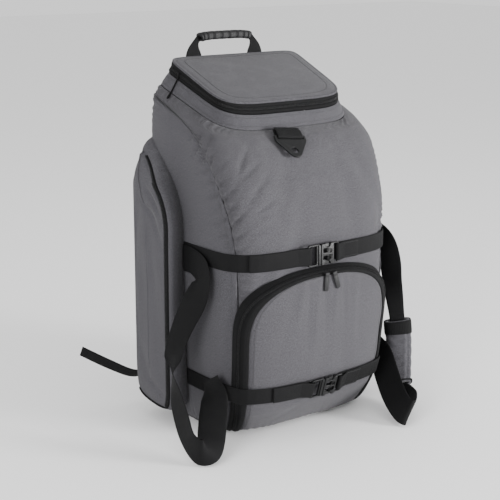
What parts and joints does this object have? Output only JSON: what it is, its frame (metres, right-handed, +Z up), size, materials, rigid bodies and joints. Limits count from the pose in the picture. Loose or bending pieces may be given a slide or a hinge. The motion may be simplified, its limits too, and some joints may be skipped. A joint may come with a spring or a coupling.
{
  "type": "sports backpack",
  "caption": "Upright grey cloth backpack with a zipped lid, an arched front compartment, side pockets, buckled compression straps, carry loops and a ribbed top handle.",
  "frame": {"origin": "the middle of the flat bottom, on the floor", "axes": "+Z up, -Y toward the front, -X toward the left side pocket in the picture"},
  "size_m": [0.4952, 0.3624, 0.5698],
  "materials": {
    "grey_cloth": "heather grey woven polyester",
    "front_cloth": "heather grey woven polyester, lighter in the light",
    "black_webbing": "black woven webbing",
    "zip_tape": "black zip tape",
    "dark_plastic": "dark moulded plastic, satin"
  },
  "bodies": {
    "root": {"front_panel": "front_cloth", "front_flap": "front_cloth", "side_panel_left": "grey_cloth", "side_panel_right": "grey_cloth", "back_panel": "grey_cloth", "bottom_panel": "grey_cloth", "collar_band": "grey_cloth", "lid_panel": "grey_cloth", "side_pocket_left": "grey_cloth", "side_pocket_right": "grey_cloth", "grip_wrap": "grey_cloth", "back_pad": "grey_cloth", "shoulder_strap_left": "grey_cloth", "shoulder_strap_right": "grey_cloth", "lid_zip": "zip_tape", "flap_gusset": "zip_tape", "pocket_zip_left": "zip_tape", "pocket_zip_right": "zip_tape", "grip_binding_top": "zip_tape", "grip_binding_low": "zip_tape", "lid_puller": "zip_tape", "upper_strap_left": "black_webbing", "upper_strap_right": "black_webbing", "lower_strap_left": "black_webbing", "lower_strap_right": "black_webbing", "handle_left": "black_webbing", "handle_right": "black_webbing", "ring_tab": "black_webbing", "top_handle_webbing": "black_webbing", "lower_webbing_left": "black_webbing", "lower_webbing_right": "black_webbing", "strap_tail_left": "black_webbing", "strap_tail_right": "black_webbing", "upper_buckle_plug": "dark_plastic", "upper_buckle_socket": "dark_plastic", "lower_buckle_plug": "dark_plastic", "lower_buckle_socket": "dark_plastic", "ring": "dark_plastic", "top_handle_grip": "dark_plastic", "flap_pull_left": "dark_plastic", "flap_pull_right": "dark_plastic", "adjuster_left": "dark_plastic", "adjuster_right": "dark_plastic"}
  },
  "joints": []
}
